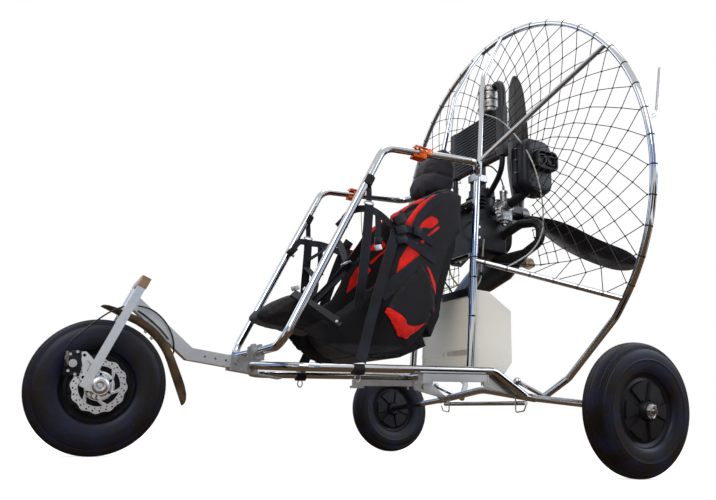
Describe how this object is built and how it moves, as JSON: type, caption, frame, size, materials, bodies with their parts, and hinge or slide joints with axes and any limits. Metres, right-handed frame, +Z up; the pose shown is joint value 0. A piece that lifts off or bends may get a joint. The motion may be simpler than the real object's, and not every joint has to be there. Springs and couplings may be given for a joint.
{
  "type": "paramotor trike",
  "caption": "Light three-wheeled paramotor undercarriage of bright tube with a hung seat, small engine, pusher propeller and round guard ring.",
  "frame": {"origin": "on the floor, at the middle of the whole machine's width and length", "axes": "+Z up; +Y from the nose wheel back to the propeller; +X to the pilot's left"},
  "size_m": [1.6446, 1.9014, 1.8695],
  "materials": {
    "tyre": "matt",
    "black_plastic": "matt",
    "gloss_black": "gloss",
    "bright_tube": "polished",
    "steel": "brushed",
    "aluminium": "satin",
    "tan_alloy": "satin",
    "orange_alloy": "anodised",
    "dark_steel": "satin",
    "engine_grey": "cast",
    "tank_white": "translucent",
    "red_fabric": "woven",
    "black_fabric": "woven",
    "hose_black": "matt",
    "hose_clear": "clear"
  },
  "bodies": {
    "frame": {"air_box": "black_plastic", "axle_arms": "steel", "axle_beams": "bright_tube", "axle_gussets": "steel", "axle_pins": "steel", "brake_cable_frame": "hose_black", "carburettor": "aluminium", "coolant_bottle": "aluminium", "coolant_hoses": "hose_black", "engine_block": "engine_grey", "engine_cross_bars": "bright_tube", "engine_plates": "dark_steel", "exhaust_chamber": "dark_steel", "exhaust_pipe": "dark_steel", "foot_beams": "aluminium", "foot_cross_tube": "bright_tube", "fuel_lines": "hose_black", "fuel_tank": "tank_white", "guard_diagonals": "bright_tube", "guard_lower_bars": "bright_tube", "guard_ring": "bright_tube", "guard_tails": "bright_tube", "head_tube": "aluminium", "headrest": "black_fabric", "hoop_foot_clamp": "steel", "hoop_left": "bright_tube", "hoop_right": "bright_tube", "line_clamps": "orange_alloy", "line_hooks": "bright_tube", "mast_clamps": "steel", "masts": "bright_tube", "mudguard": "black_plastic", "nose_beam": "aluminium", "nose_sleeve": "steel", "radiator": "dark_steel", "reduction_drive": "aluminium", "ring_struts": "bright_tube", "seat_back": "black_fabric", "seat_pan": "black_fabric", "seat_straps": "black_fabric", "seat_tongue": "black_fabric", "seat_wings": "red_fabric", "side_rails": "bright_tube", "silencer": "tan_alloy", "tank_clamp": "dark_steel", "tank_shelf": "aluminium", "vent_hose": "hose_clear"},
    "fork": {"fork": "tan_alloy", "brake_caliper": "dark_steel", "brake_cable_fork": "hose_black"},
    "nose_wheel": {"nose_tyre": "tyre", "nose_rim": "black_plastic", "brake_disc": "steel"},
    "rear_wheel_left": {"rear_tyre_left": "tyre", "rear_rim_left": "black_plastic"},
    "rear_wheel_right": {"rear_tyre_right": "tyre", "rear_rim_right": "black_plastic"},
    "propeller": {"propeller": "gloss_black"}
  },
  "joints": [
    {"name": "steering", "type": "hinge", "parent": "frame", "child": "fork", "pos_m": [0, -0.67725, 0.478], "axis": [0, 0.3746, 0.9272], "range_deg": [-28, 28]},
    {"name": "nose_wheel_spin", "type": "hinge", "parent": "fork", "child": "nose_wheel", "pos_m": [0, -0.74575, 0.205], "axis": [1, 0, 0], "continuous": true},
    {"name": "rear_left_spin", "type": "hinge", "parent": "frame", "child": "rear_wheel_left", "pos_m": [0.7536, 0.70475, 0.19924], "axis": [0.9962, 0, -0.0872], "continuous": true},
    {"name": "rear_right_spin", "type": "hinge", "parent": "frame", "child": "rear_wheel_right", "pos_m": [-0.7536, 0.70475, 0.19924], "axis": [0.9962, 0, 0.0872], "continuous": true},
    {"name": "propeller_spin", "type": "hinge", "parent": "frame", "child": "propeller", "pos_m": [0, 0.91675, 1.04], "axis": [0, 1, 0], "continuous": true}
  ]
}
